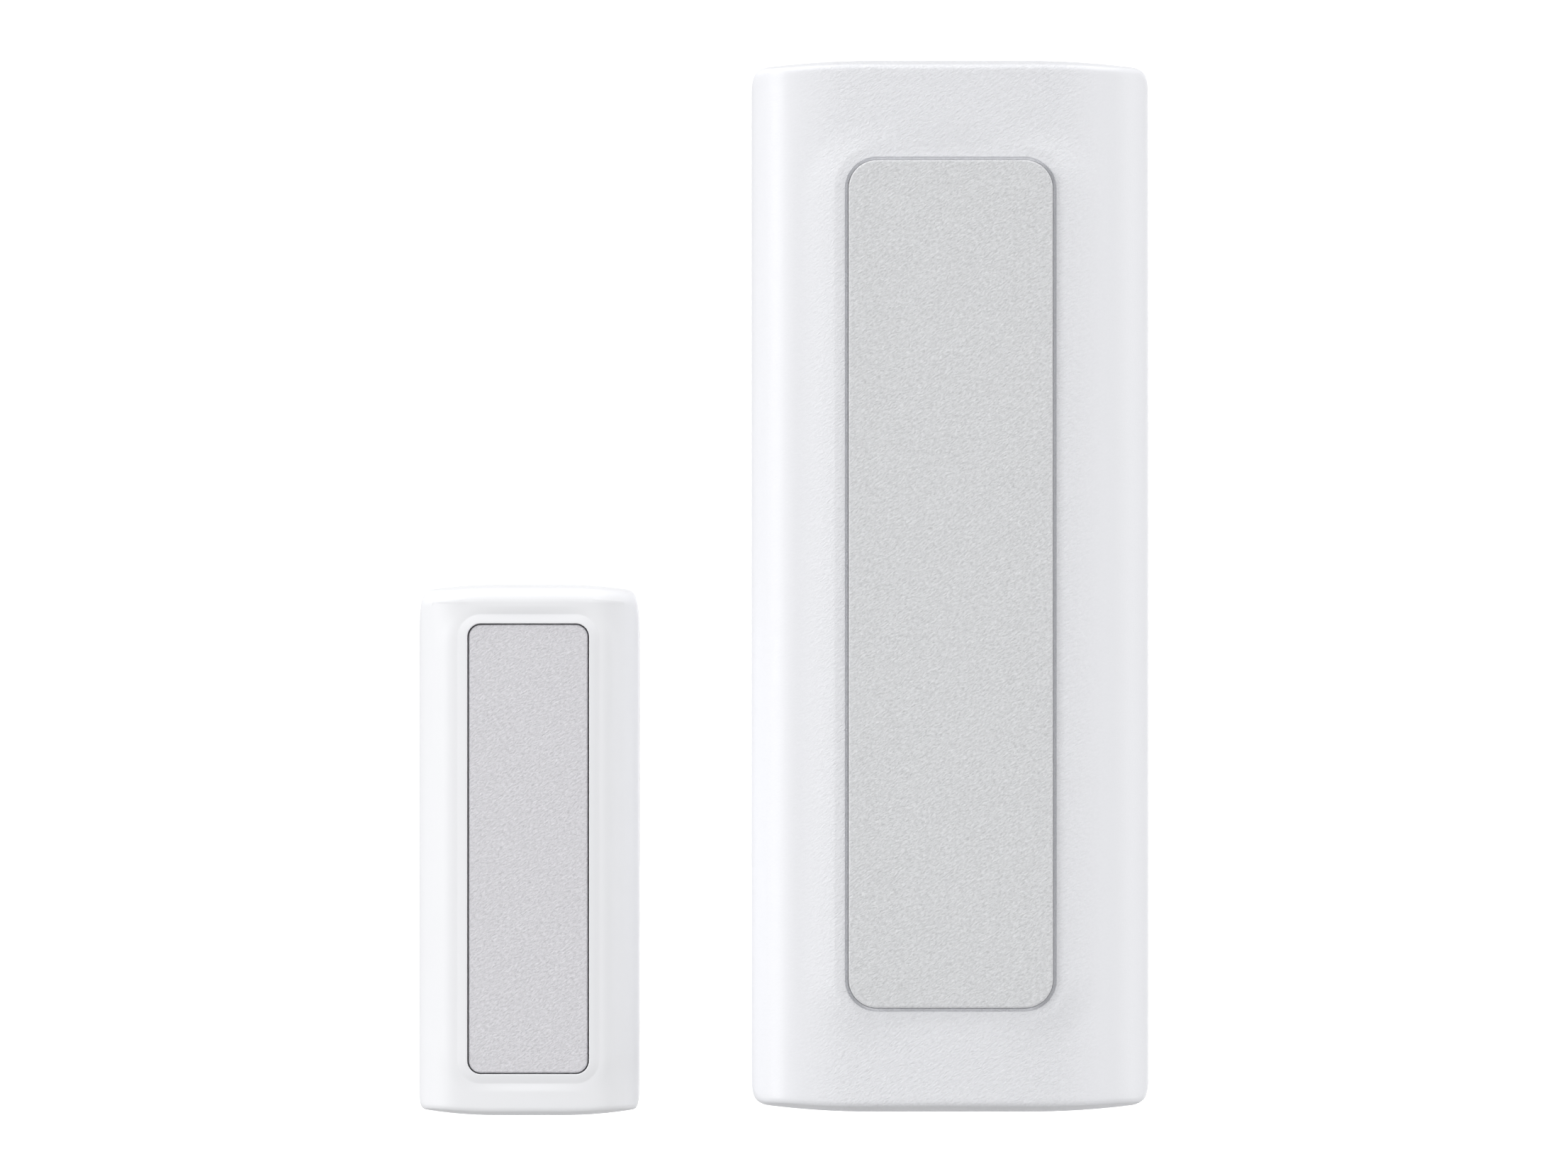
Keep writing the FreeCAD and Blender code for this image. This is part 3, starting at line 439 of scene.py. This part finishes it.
def build_outer(form, rings, ax, az, corner_r, dz, name, droop):
    """Closed outer solid of a cover. rings lists (hw, hh, r, square, y(x, z)) from the pocket's floor outwards; (ax, az) is the true rectangle that the rings end in.
    Towards the walls the rows draw in by droop, so that they keep their spacing where the ends come lower."""
    verts, faces = [], []

    def grid(rows):
        base = len(verts)
        n = len(rows[0])
        for row in rows:
            verts.extend(row)
        for j in range(len(rows) - 1):
            for i in range(n - 1):
                a = base + j * n + i
                faces.append((a, a + 1, a + n + 1, a + n))

    # rings
    loops = []
    for hw, hh, r, square, height in rings:
        sides = ring_points(hw, hh, r, square)
        loops.append([[(x, height(x, z), z + dz) for x, z in side] for side in sides])
    for s in range(4):
        grid([loop[s] for loop in loops])
    # the pocket's floor, blended between its four sides
    top, right, bottom, left = loops[0]
    right_up, left_up = right[::-1], left
    bottom_lr = bottom[::-1]
    nu, nv = len(top) - 1, len(left_up) - 1
    rows = []
    for j in range(nv + 1):
        v = j / nv
        row = []
        for i in range(nu + 1):
            u = i / nu
            p = []
            for k in range(3):
                c = (1 - v) * bottom_lr[i][k] + v * top[i][k] + (1 - u) * left_up[j][k] + u * right_up[j][k]
                c -= (1 - u) * (1 - v) * bottom_lr[0][k] + u * (1 - v) * bottom_lr[-1][k] + (1 - u) * v * top[0][k] + u * v * top[-1][k]
                p.append(c)
            row.append(tuple(p))
        rows.append(row)
    grid(rows)

    # columns across the whole section, as (x, y, nx, ny), from the left rear rim to the right
    side_cols = []
    phi0 = math.asin((ax - form.fx) / form.flank_r)
    for i in range(1, 8):
        side_cols.append(phi0 + (math.pi / 4 - phi0) * i / 7)
    for i in range(1, 9):
        side_cols.append(math.pi / 4 + math.pi / 4 * i / 8)
    right_side = [(form.fx + form.flank_r * math.sin(t), form.fy - form.flank_r * math.cos(t), math.sin(t), -math.cos(t)) for t in side_cols]
    n_wall = 12
    for i in range(1, n_wall + 1):
        right_side.append((form.w / 2, form.fy + (form.back_y - form.fy) * i / n_wall, 1.0, 0.0))
    edge_top = ring_points(ax, az, corner_r, 1.0)[0]
    middle = []
    for x, _ in edge_top:
        y, n = form.front(x)
        middle.append((x, y, n[0], n[1]))
    left_side = [(-x, y, -nx, ny) for x, y, nx, ny in right_side][::-1]
    columns = left_side + middle + right_side
    draw = [1 - droop * smooth(min(1.0, (i + 1) / 14)) for i in range(len(right_side))]
    factors = draw[::-1] + [1.0] * len(middle) + draw
    # side blocks
    edge_right = ring_points(ax, az, corner_r, 1.0)[1]
    zs = [z + dz for _, z in edge_right]
    for cols, fs in (([middle[-1]] + right_side, [1.0] + draw), (left_side + [middle[0]], draw[::-1] + [1.0])):
        grid([[(c[0], c[1], dz + (z - dz) * f) for c, f in zip(cols, fs)] for z in zs])
    # end blocks, their rounds and their end faces
    m = 7
    arc_steps = 6
    rear = 8 + n_wall
    for up in (1, -1):
        edge_r = form.edge_up if up > 0 else form.edge_down
        rows = []
        starts = [up * az * f + dz for f in factors]
        tops = [up * form.end(x, y, -edge_r) for x, y, nx, ny in columns]
        for j in range(m + 1):
            t = j / m
            rows.append([(c[0], c[1], z0 + (zt - z0) * t) for c, z0, zt in zip(columns, starts, tops)])
        for j in range(1, arc_steps + 1):
            a = math.pi / 2 * j / arc_steps
            d1, f2 = edge_r * (1 - math.cos(a)), -edge_r * (1 - math.sin(a))
            row = []
            for x, y, nx, ny in columns:
                px, py = x - nx * d1, y - ny * d1
                row.append((px, py, up * form.end(px, py, f2)))
            rows.append(row)
        grid(rows)
        # the end face: a patch with the front's run as one side, the two walls as two more and the rear rim as the last
        last = [(x, y) for x, y, z in rows[-1]]
        front = last[rear:len(last) - rear]
        wall_l = last[:rear + 1][::-1]
        wall_r = last[len(last) - rear - 1:]
        span = front[-1][0] - front[0][0]
        rim = [(wall_l[-1][0] + (wall_r[-1][0] - wall_l[-1][0]) * (p[0] - front[0][0]) / span, form.back_y) for p in front]
        patch = []
        nv = len(wall_l) - 1
        nu = len(front) - 1
        for j in range(nv + 1):
            v = j / nv
            row = []
            for i in range(nu + 1):
                u = (front[i][0] - front[0][0]) / span
                p = []
                for q in range(2):
                    c = (1 - v) * front[i][q] + v * rim[i][q] + (1 - u) * wall_l[j][q] + u * wall_r[j][q]
                    c -= (1 - u) * (1 - v) * front[0][q] + u * (1 - v) * front[-1][q] + (1 - u) * v * rim[0][q] + u * v * rim[-1][q]
                    p.append(c)
                if j == 0:
                    p = list(front[i])
                if i == 0:
                    p = list(wall_l[j])
                if i == nu:
                    p = list(wall_r[j])
                row.append((p[0], p[1], up * form.end(p[0], p[1], 0.0)))
            patch.append(row)
        grid(patch)

    me = bpy.data.meshes.new(name)
    me.from_pydata(verts, [], faces)
    bm = weld(me, 2e-4)
    rim_edges = [e for e in bm.edges if len(e.link_faces) == 1]
    off = [e for e in rim_edges if any(abs(v.co.y - form.back_y) > 1e-4 for v in e.verts)]
    print("SHELL", name, "verts", len(bm.verts), "open edges", len(rim_edges), "off the rear rim", len(off))
    bmesh.ops.edgeloop_fill(bm, edges=rim_edges)
    bmesh.ops.recalc_face_normals(bm, faces=bm.faces)
    bm.to_mesh(me)
    bm.free()
    return me


def mix(a, b, t):
    return a + (b - a) * t


def smooth(t):
    return t * t * (3 - 2 * t)


def sizes(a, b, t):
    return tuple(mix(p, q, t) for p, q in zip(a, b))


def cavity_from(node, form, cx, cz, cav_w, cav_h, y_deep):
    """The hollow inside a cover as a closed solid, bosses and posts left standing: the CAD cover's own inner skin, closed at the back."""
    src = nodes[node].data
    bm = bmesh.new()
    bm.from_mesh(src)
    bmesh.ops.scale(bm, vec=(1000, 1000, 1000), verts=bm.verts)
    bmesh.ops.translate(bm, vec=(-cx, 0, -cz), verts=bm.verts)
    bmesh.ops.remove_doubles(bm, verts=bm.verts, dist=1e-3)
    e = 2e-3
    keep = [f for f in bm.faces if all(abs(v.co.x) < cav_w / 2 + e and abs(v.co.z) < cav_h / 2 + e and v.co.y > y_deep for v in f.verts)
            and not all(abs(v.co.y - form.back_y) < 1e-4 for v in f.verts)]
    bmesh.ops.delete(bm, geom=[f for f in bm.faces if f not in set(keep)], context="FACES")
    loose = [v for v in bm.verts if not v.link_faces]
    bmesh.ops.delete(bm, geom=loose, context="VERTS")
    open_edges = [ed for ed in bm.edges if len(ed.link_faces) == 1]
    back = [ed for ed in open_edges if all(abs(v.co.y - form.back_y) < 1e-3 for v in ed.verts)]
    out = bmesh.ops.extrude_edge_only(bm, edges=back)
    moved = [v for v in out["geom"] if isinstance(v, bmesh.types.BMVert)]
    bmesh.ops.translate(bm, vec=(0, 2.0, 0), verts=moved)
    open_edges = [ed for ed in bm.edges if len(ed.link_faces) == 1]
    bmesh.ops.edgeloop_fill(bm, edges=open_edges)
    bmesh.ops.recalc_face_normals(bm, faces=bm.faces)
    left = sum(1 for ed in bm.edges if len(ed.link_faces) != 2)
    me = bpy.data.meshes.new(node + "_cavity")
    bm.to_mesh(me)
    bm.free()
    print("CAVITY", node, len(me.polygons), "bad edges", left)
    return me


def obround(w, h, depth, cx, cy, cz, steps=20):
    """Prism along X with a slot's outline, centred at (cx, cy, cz): w across Y, h along Z."""
    r = w / 2
    pts = []
    for i in range(steps + 1):
        a = math.pi * i / steps
        pts.append((cy + r * math.cos(a), cz + h / 2 - r + r * math.sin(a)))
    for i in range(steps + 1):
        a = math.pi + math.pi * i / steps
        pts.append((cy + r * math.cos(a), cz - h / 2 + r + r * math.sin(a)))
    bm = bmesh.new()
    a = [bm.verts.new((cx - depth / 2, y, z)) for y, z in pts]
    b = [bm.verts.new((cx + depth / 2, y, z)) for y, z in pts]
    bm.faces.new(a)
    bm.faces.new(b)
    n = len(pts)
    for i in range(n):
        bm.faces.new((a[i], a[(i + 1) % n], b[(i + 1) % n], b[i]))
    bmesh.ops.recalc_face_normals(bm, faces=bm.faces)
    me = bpy.data.meshes.new("slot")
    bm.to_mesh(me)
    bm.free()
    return me


def carve(me, cutters, name):
    """me with each cutter taken away, as one applied mesh."""
    ob = bpy.data.objects.new(name, me)
    scene.collection.objects.link(ob)
    tools = []
    for c in cutters:
        t = bpy.data.objects.new("cutter", c)
        scene.collection.objects.link(t)
        tools.append(t)
        mod = ob.modifiers.new("cut", "BOOLEAN")
        mod.operation = "DIFFERENCE"
        mod.solver = "EXACT"
        mod.object = t
    bpy.context.view_layer.update()
    dg = bpy.context.evaluated_depsgraph_get()
    done = bpy.data.meshes.new_from_object(ob.evaluated_get(dg))
    ob.modifiers.clear()
    for t in tools:
        bpy.data.objects.remove(t)
    ob.data = done
    return ob


def tidy(ob, back_y):
    """The rear rim and any other many-sided face as clean triangles."""
    bm = bmesh.new()
    bm.from_mesh(ob.data)
    near = [v for v in bm.verts if abs(v.co.y - back_y) < 1e-2]
    for v in near:
        v.co.y = back_y
    bmesh.ops.remove_doubles(bm, verts=near, dist=2e-3)
    rear = [f for f in bm.faces if all(abs(v.co.y - back_y) < 1e-4 for v in f.verts)]
    area = sum(f.calc_area() for f in rear)
    bmesh.ops.delete(bm, geom=rear, context="FACES_ONLY")
    bmesh.ops.delete(bm, geom=[e for e in bm.edges if not e.link_faces], context="EDGES")
    rim = [e for e in bm.edges if len(e.link_faces) == 1]
    points = list({v for e in rim for v in e.verts})
    points.sort(key=lambda v: (round(v.co.x, 6), round(v.co.z, 6)))
    index = {v: i for i, v in enumerate(points)}
    flat = [Vector((v.co.x, v.co.z)) for v in points]
    pairs = [(index[e.verts[0]], index[e.verts[1]]) for e in rim]
    _, _, tris, came, _, _ = delaunay_2d_cdt(flat, pairs, [], 0, 1e-7, True)
    back_to = [c[0] for c in came]

    def inside(x, z):
        hit = False
        for i, j in pairs:
            p, q = flat[i], flat[j]
            if (p.y > z) != (q.y > z) and x < p.x + (q.x - p.x) * (z - p.y) / (q.y - p.y):
                hit = not hit
        return hit
    done = 0.0
    for tri in tris:
        vs = [points[back_to[i]] for i in tri]
        c = sum((v.co for v in vs), Vector()) / 3
        if len(set(vs)) == 3 and inside(c.x, c.z):
            done += bm.faces.new(vs).calc_area()
    print("REAR", ob.name, "area", round(area, 3), "->", round(done, 3), "rim edges", len(rim))
    many = [f for f in bm.faces if len(f.verts) > 4]
    bmesh.ops.triangulate(bm, faces=many, quad_method="BEAUTY", ngon_method="BEAUTY")
    bmesh.ops.recalc_face_normals(bm, faces=bm.faces)
    bm.to_mesh(ob.data)
    bm.free()
    return ob


def settle(ob, cx, cz, sharp=32.0):
    """From millimetres about the unit's centre to metres in the row frame, smooth but for true edges."""
    me = ob.data
    me.transform(Matrix.Translation((cx * MM, 0, cz * MM)) @ Matrix.Scale(MM, 4))
    me.polygons.foreach_set("use_smooth", [True] * len(me.polygons))
    me.set_sharp_from_angle(angle=math.radians(sharp))
    me.update()
    bad = 0
    bm = bmesh.new()
    bm.from_mesh(me)
    bad = sum(1 for e in bm.edges if len(e.link_faces) != 2)
    bm.free()
    print("COVER", ob.name, "faces", len(me.polygons), "bad edges", bad)
    return ob


# sensor unit
S = Form(29.6, 78.5, 14.72, 4.0, 88.0, -2.5, 6.0, 60.0, 1.5, 0.63, -7.0, 0.35)
S_WELL = (7.61, 31.48, 2.13)
S_POCKET = (7.83, 31.70, 2.35)
S_RIM = (8.62, 32.5, 3.05)
S_MOAT = (11.35, 34.85, 6.2)
S_RECT = (12.2, 36.2)
S_RIM_Y, S_GROOVE = -14.64, 0.24


def flat_at(y):
    return lambda x, z: y


def sensor_rings():
    """The inlay's well, a narrow groove round it, the flat rim and the dish that runs out into the crowned front."""
    out = []
    ledge = S_RIM_Y + S_GROOVE
    for y in (-14.0, -14.2, ledge + 0.03):
        out.append((*S_WELL, 0.0, flat_at(y)))
    for t, y in ((0.06, ledge + 0.005), (0.14, ledge), (0.5, ledge), (0.86, ledge), (0.94, ledge - 0.008)):
        out.append((*sizes(S_WELL, S_POCKET, t), 0.0, flat_at(y)))
    r = 0.04
    out.append((*S_POCKET, 0.0, flat_at(ledge - 0.03)))
    for i in range(1, 5):
        a = math.pi / 2 * i / 4
        o = r * (1 - math.cos(a))
        out.append((S_POCKET[0] + o, S_POCKET[1] + o, S_POCKET[2] + o, 0.0, flat_at(S_RIM_Y + r * (1 - math.sin(a)))))
    for t in (0.14, 0.3, 0.5, 0.7, 0.86):
        out.append((*sizes(S_POCKET, S_RIM, t), 0.0, flat_at(S_RIM_Y)))
    out.append((*S_RIM, 0.0, flat_at(S_RIM_Y)))
    steps = 22

    def height(t):
        s = 1 - (1 - t) ** 2

        def f(x, z):
            return mix(S_RIM_Y, S.front(x)[0], s)
        return f
    for i in range(1, steps + 1):
        t = smooth(i / steps) * 0.5 + 0.5 * i / steps
        out.append((*sizes(S_RIM, S_MOAT, t), 0.0, height(t)))
    for i in range(1, 5):
        t = i / 4
        hw, hh, rr = sizes(S_MOAT, (*S_RECT, 4.0), t)
        out.append((hw, hh, rr, t, lambda x, z: S.front(x)[0]))
    return out


cover_mesh = build_outer(S, sensor_rings(), S_RECT[0], S_RECT[1], 4.0, 0.09, "sensor_cover_form", 0.05)
hollow = cavity_from("sensor_front_cover", S, 0.0, 0.0, 26.8, 74.7, -13.0)
slot = obround(3.3, 7.9, 3.0, 14.6, -6.1, -21.0)
sensor_cover = settle(tidy(carve(cover_mesh, [hollow, slot], "sensor_front_shell"), S.back_y), 0.0, 0.0)
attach(sensor_cover, "sensor_body")
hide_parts("sensor_front_cover")
sensor_cover.data.materials.clear()
sensor_cover.data.materials.append(made["cover_plastic"])

# magnet unit
MX, MZ = -31.4, -19.7
M = Form(16.4, 39.7, 12.0, 3.4, 70.0, -0.8, 2.5, 33.0, 0.7, 0.42, -5.6, (0.95, 0.3))
M_POCKET = (4.53, 16.76, 1.01)
M_RIM = (5.28, 17.45, 1.75)
M_MOAT = (6.85, 18.1, 3.3)
M_RECT = (7.1, 18.32)
M_RIM_Y, M_DROP = -11.99, 0.15


def magnet_rings():
    out = []
    for y in (-10.9, -11.3, -11.6, M_RIM_Y + 0.12):
        out.append((*M_POCKET, 0.0, flat_at(y)))
    r = 0.06
    for i in range(1, 5):
        a = math.pi / 2 * i / 4
        o = r * (1 - math.cos(a))
        out.append((M_POCKET[0] + o, M_POCKET[1] + o, M_POCKET[2] + o, 0.0, flat_at(M_RIM_Y + r * (1 - math.sin(a)))))
    # the rim rounds over outwards, like a bead
    steps = 12
    for i in range(1, steps + 1):
        t = i / steps
        out.append((*sizes((M_POCKET[0] + 0.06, M_POCKET[1] + 0.06, M_POCKET[2] + 0.06), M_RIM, t), 0.0, flat_at(M_RIM_Y + M_DROP * (0.6 * t + 0.4 * t * t))))
    steps = 16

    def height(t):
        s = 1 - (1 - t) ** 1.6

        def f(x, z):
            return mix(M_RIM_Y + M_DROP, M.front(x)[0], s)
        return f
    for i in range(1, steps + 1):
        t = i / steps
        out.append((*sizes(M_RIM, M_MOAT, t), 0.0, height(t)))
    for i in range(1, 4):
        t = i / 3
        hw, hh, rr = sizes(M_MOAT, (*M_RECT, 2.4), t)
        out.append((hw, hh, rr, t, lambda x, z: M.front(x)[0]))
    return out


m_mesh = build_outer(M, magnet_rings(), M_RECT[0], M_RECT[1], 2.4, 0.12, "magnet_cover_form", 0.13)
m_hollow = cavity_from("magnet_cover", M, MX, MZ, 13.8, 37.7, -10.3)
magnet_cover = settle(tidy(carve(m_mesh, [m_hollow], "magnet_shell"), M.back_y), MX, MZ)
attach(magnet_cover, "magnet_unit")
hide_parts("magnet_cover")
magnet_cover.data.materials.clear()
magnet_cover.data.materials.append(made["magnet_cover_plastic"])


# ------------------------------------------------------------------ stage and light
def area(name, size_x, size_y, location, aim, power, colour=(1, 1, 1)):
    data = bpy.data.lights.new(name, "AREA")
    data.shape = "RECTANGLE"
    data.size, data.size_y = size_x, size_y
    data.energy = power
    data.color = colour
    o = bpy.data.objects.new(name, data)
    scene.collection.objects.link(o)
    o.location = location
    o.rotation_euler = (Vector(aim) - Vector(location)).to_track_quat("-Z", "Y").to_euler()
    o.visible_camera = False
    return o


# a wide white bowl: a flat floor that turns up into a wall all round
floor_z = cad_lo.z - 0.0003
me = bpy.data.meshes.new("floor")
bm = bmesh.new()
R, REACH, TURNS = 0.5, 2.3, 72
profile = [(0.12, floor_z), (0.5, floor_z), (1.2, floor_z), (REACH, floor_z)]
for i in range(1, 17):
    a = math.pi / 2 * i / 16
    profile.append((REACH + R * math.sin(a), floor_z + R - R * math.cos(a)))
profile += [(REACH + R, floor_z + 1.4), (REACH + R, floor_z + 2.8)]
rows = [[bm.verts.new((r * math.cos(2 * math.pi * i / TURNS), r * math.sin(2 * math.pi * i / TURNS), z)) for i in range(TURNS)] for r, z in profile]
bm.faces.new(rows[0])
for a, b in zip(rows, rows[1:]):
    for i in range(TURNS):
        bm.faces.new((a[i], a[(i + 1) % TURNS], b[(i + 1) % TURNS], b[i]))
bmesh.ops.recalc_face_normals(bm, faces=bm.faces)
bm.to_mesh(me)
bm.free()
for p in me.polygons:
    p.use_smooth = True
floor = bpy.data.objects.new("floor", me)
scene.collection.objects.link(floor)
fm = bpy.data.materials.new("floor_white")
fm.use_nodes = True
fb = fm.node_tree.nodes["Principled BSDF"]
fb.inputs["Base Color"].default_value = (0.9, 0.9, 0.9, 1)
fb.inputs["Roughness"].default_value = 0.9
fb.inputs["Emission Color"].default_value = (1, 1, 1, 1)
fb.inputs["Emission Strength"].default_value = 0.85
me.materials.append(fm)
floor.visible_diffuse = False
floor.visible_glossy = False
floor.visible_shadow = False

world = bpy.data.worlds.new("world")
scene.world = world
world.use_nodes = True
bg = world.node_tree.nodes["Background"]
bg.inputs["Color"].default_value = (1, 1, 1, 1)
bg.inputs["Strength"].default_value = 0.477

area("key_left", 0.6, 1.0, (-1.70, -0.75, 0.35), (0, 0, 0), 12.2)
area("soft_left", 0.9, 1.6, (-1.52, -1.04, 0.20), (0, 0, 0), 7.6)
area("soft_right", 0.9, 1.6, (1.52, -1.04, 0.20), (0, 0, 0), 7.8)
area("side_right", 0.9, 1.6, (1.84, -0.24, 0.20), (0, 0, 0), 8.6)
area("top", 1.6, 0.9, (-0.10, -0.24, 1.84), (0, 0, 0), 16.8)
area("low", 1.2, 0.8, (0.0, -0.20, -1.80), (0, 0, 0), 2.0)
area("rear", 1.4, 0.8, (0.25, 1.85, 0.02), (0, 0, 0), 5.5)
